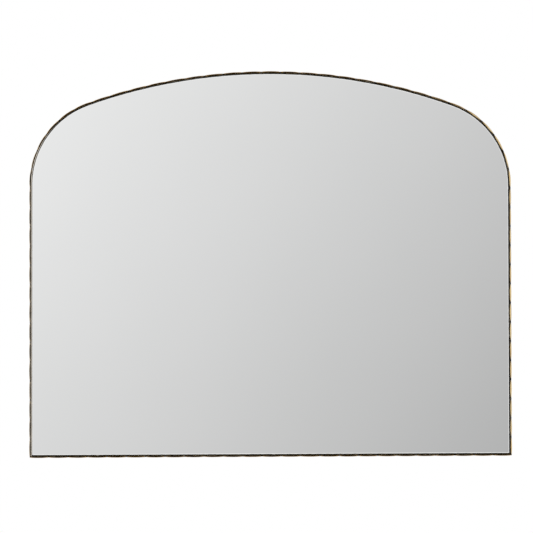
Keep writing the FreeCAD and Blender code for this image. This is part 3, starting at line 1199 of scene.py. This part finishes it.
def makeFloor():
    bm = bmesh.new()
    bmesh.ops.create_circle(bm, cap_ends=True, segments=96, radius=stage["floorRadius"])
    bmesh.ops.translate(bm, verts=bm.verts[:], vec=(0, 0, bottomZ - stage["floorDrop"]))
    floor = addObject("floor", closeMesh("floor", bm))
    material, tree = startFinish("paleFloor")
    place = objectPlace(tree, (1, 1, 0))
    mottle = noise(tree, place, 3, 3)
    plug(
        material,
        color=ramp(tree, mottle, (0.3, (0.86, 0.86, 0.86)), (0.7, (0.88, 0.88, 0.88))),
        roughness=mapRange(tree, mottle, 0, 1, 0.8, 0.9),
    )
    distance = addNode(tree, "ShaderNodeVectorMath", {0: place}, operation="LENGTH").outputs["Value"]
    fade = mapRange(tree, distance, stage["nearRadius"], stage["farRadius"], 0, 1, smooth=True)
    rays = addNode(tree, "ShaderNodeLightPath").outputs
    seen = calc(tree, "MAXIMUM", rays["Is Camera Ray"], rays["Is Transmission Ray"])
    white = output(tree, "ShaderNodeEmission", {"Strength": 1.0})
    pale = tree.nodes["Principled BSDF"].outputs[0]
    sockets = {0: times(tree, fade, seen), 1: pale, 2: white}
    blended = output(tree, "ShaderNodeMixShader", sockets)
    setInputs(tree, tree.nodes["Material Output"], {"Surface": blended})
    floor.data.materials.append(material)
    floor.visible_glossy = False  # the pane shows the soft surround instead


def makeSurround():
    world = bpy.data.worlds.new("surround")
    world.use_nodes = True
    world.cycles.sampling_method = "NONE"
    bpy.context.scene.world = world
    tree = world.node_tree
    tree.nodes.clear()
    direction = addNode(tree, "ShaderNodeTexCoord").outputs["Generated"]
    along = addNode(tree, "ShaderNodeSeparateXYZ", {0: direction}).outputs
    right = calc(tree, "MAXIMUM", along["X"], 0.0)
    left = calc(tree, "MAXIMUM", times(tree, along["X"], -1.0), 0.0)
    below = calc(tree, "MAXIMUM", times(tree, along["Z"], -1.0), 0.0)
    upright = calc(tree, "ABSOLUTE", along["Z"])

    # straight ahead the pane sees an even slope of grey, brightest to the upper left
    ahead = calc(tree, "MULTIPLY_ADD", along["X"], surround["slopeX"], surround["ahead"])
    ahead = calc(tree, "MULTIPLY_ADD", along["Z"], surround["slopeZ"], ahead)
    # beside the camera, a bright ring, then a dim room with one bright wall on the right
    wall = calc(tree, "MULTIPLY_ADD", below, surround["wallBelow"], right)
    frontSide = mapRange(tree, wall, *surround["toWall"], surround["dim"], surround["bright"], smooth=True)
    rearSide = calc(tree, "MULTIPLY_ADD", right, surround["rightGain"], surround["rear"])
    rearSide = calc(tree, "MULTIPLY_ADD", left, surround["leftGain"], rearSide)
    rearSide = calc(tree, "MULTIPLY_ADD", below, surround["belowGain"], rearSide)
    shown = ahead
    for level, (start, end) in (
        (1.0, surround["toRing"]),
        (frontSide, surround["toFrontSide"]),
        (rearSide, surround["toRearSide"]),
        (surround["behind"], surround["toBehind"]),
    ):
        turned = mapRange(tree, along["Y"], start, end, 0, 1, smooth=True)
        shown = mix(tree, turned, shown, level)
    # the flat pane, seen at a slant, shows an even room that is paler upwards
    rays = addNode(tree, "ShaderNodeLightPath").outputs
    flat = rays["Is Singular Ray"]
    room = calc(tree, "MULTIPLY_ADD", along["Z"], surround["roomSlope"], surround["room"])
    slant = mapRange(tree, along["Y"], *surround["toRing"], 0, 1, smooth=True)
    shown = mix(tree, flat, shown, mix(tree, slant, ahead, room))
    # light from above and below is warmer
    warmth = mapRange(tree, upright, *surround["toWarm"], 0, 1, smooth=True)
    sideways = mapRange(tree, along["Y"], *surround["toWarmSide"], 0, 1, smooth=True)
    warmth = times(tree, warmth, mapRange(tree, right, *surround["toCoolRight"], 1, 0))
    warmth = times(tree, warmth, minus(tree, 1.0, flat))
    tint = mixColor(tree, times(tree, warmth, sideways), (1, 1, 1, 1), surround["warm"])

    glossy = rays["Is Glossy Ray"]
    lit = mix(tree, glossy, stage["ambient"], shown)
    white = calc(tree, "MAXIMUM", rays["Is Camera Ray"], rays["Is Transmission Ray"])
    strength = mix(tree, white, lit, 1.0)
    color = mixColor(tree, glossy, (1, 1, 1, 1), tint)
    background = output(tree, "ShaderNodeBackground", {"Color": color, "Strength": strength})
    addNode(tree, "ShaderNodeOutputWorld", {"Surface": background})


def makeLamps():
    middle = Vector((0, 0, (topZ + bottomZ) / 2))
    for name, place, size, power in stage["lamps"]:
        light = bpy.data.lights.new(name, "AREA")
        light.size = size
        light.energy = power
        lamp = addObject(name, light)
        lamp.location = place
        lamp.rotation_euler = (middle - lamp.location).to_track_quat("-Z", "Y").to_euler()
        lamp.visible_camera = False
        lamp.visible_glossy = False


def makeCamera():
    yaw, pitch = radians(photoView["yaw"]), radians(photoView["pitch"])
    aim = Vector((photoView["aimX"], rimLow.y, (topZ + bottomZ) / 2 + photoView["aimZ"]))
    level = cos(pitch)
    towards = Vector((-sin(yaw) * level, -cos(yaw) * level, -sin(pitch)))
    lens = bpy.data.cameras.new("camera")
    focalPixels = photoView["distance"] / photoView["metresPerPixel"]
    lens.sensor_width = 36.0
    lens.lens = focalPixels * lens.sensor_width / photoView["photoSize"]
    camera = addObject("camera", lens)
    camera.location = aim + towards * photoView["distance"]
    turn = (-towards).to_track_quat("-Z", "Y").to_matrix().to_4x4()
    turn = turn @ Matrix.Rotation(radians(photoView["roll"]), 4, "Z")
    camera.rotation_euler = turn.to_euler()
    bpy.context.scene.camera = camera


makeFloor()
makeSurround()
makeLamps()
makeCamera()
bpy.context.scene.view_settings.view_transform = "Standard"
print("stage, light and camera set")
